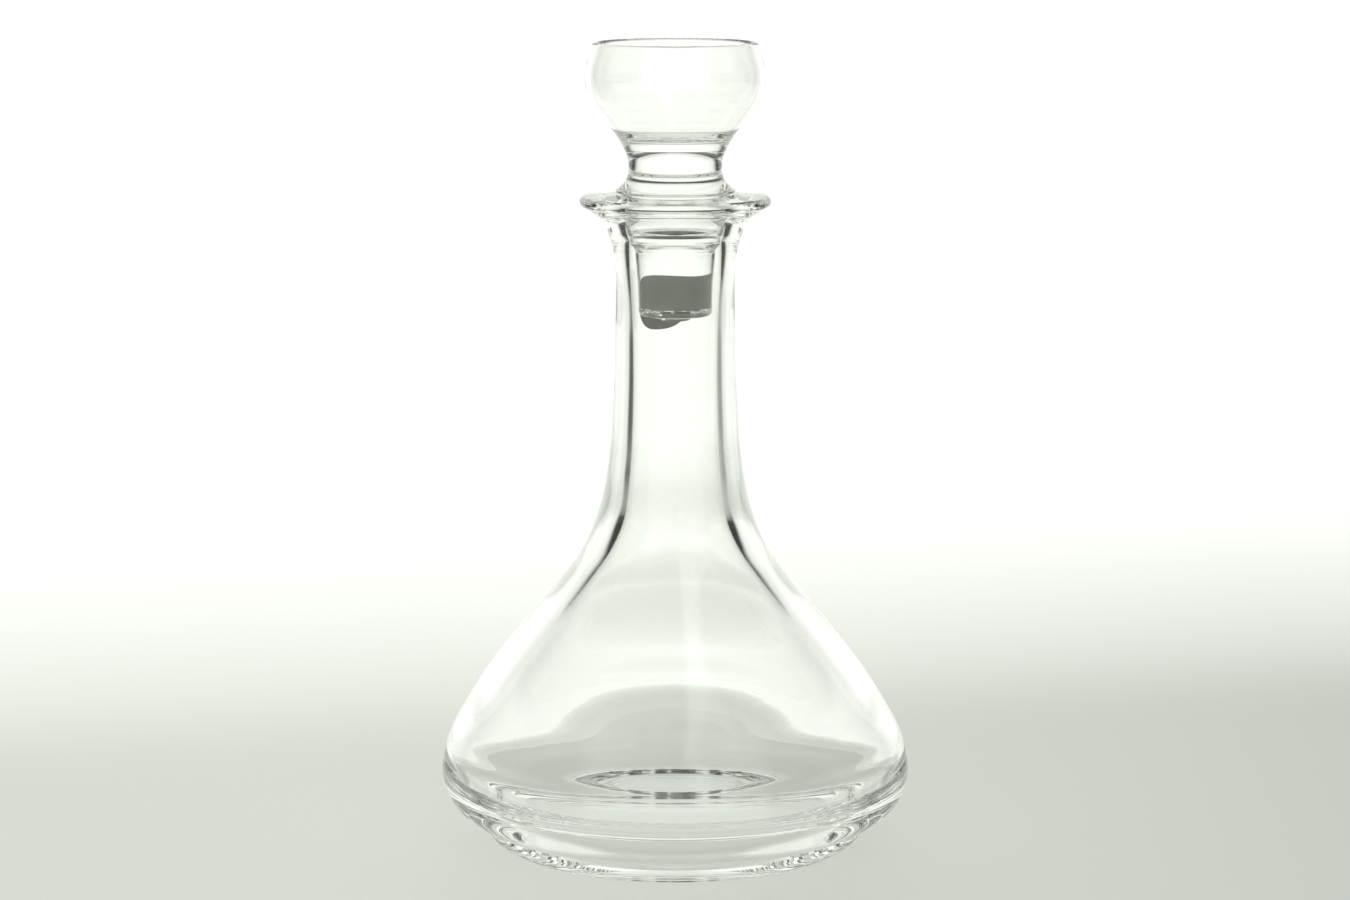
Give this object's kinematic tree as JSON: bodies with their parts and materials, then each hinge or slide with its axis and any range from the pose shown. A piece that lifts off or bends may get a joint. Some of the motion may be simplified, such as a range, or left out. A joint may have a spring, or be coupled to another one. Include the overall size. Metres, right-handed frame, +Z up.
{
  "type": "wine decanter",
  "caption": "Clear glass wine decanter with a wide low belly, a tall round neck with a small foil label, an everted lip and a cup-headed glass stopper that lifts out.",
  "frame": {"origin": "on the axis of the decanter, on the plane that its foot ring stands on", "axes": "+Z up along the axis; -Y is the front, and the small label lies on the +Y side of the neck; +X to the right seen from the front"},
  "size_m": [0.1676, 0.1676, 0.2818],
  "materials": {
    "body_glass": "clear polished glass",
    "stopper_glass": "clear polished glass",
    "label_foil": "plain matt grey-green foil"
  },
  "bodies": {
    "decanter": {"decanter_body": "body_glass", "neck_label": "label_foil"},
    "stopper": {"stopper": "stopper_glass"}
  },
  "joints": [
    {"name": "stopper_lift", "type": "slide", "parent": "decanter", "child": "stopper", "axis": [0, 0, 1], "range_m": [0, 0.06]}
  ]
}
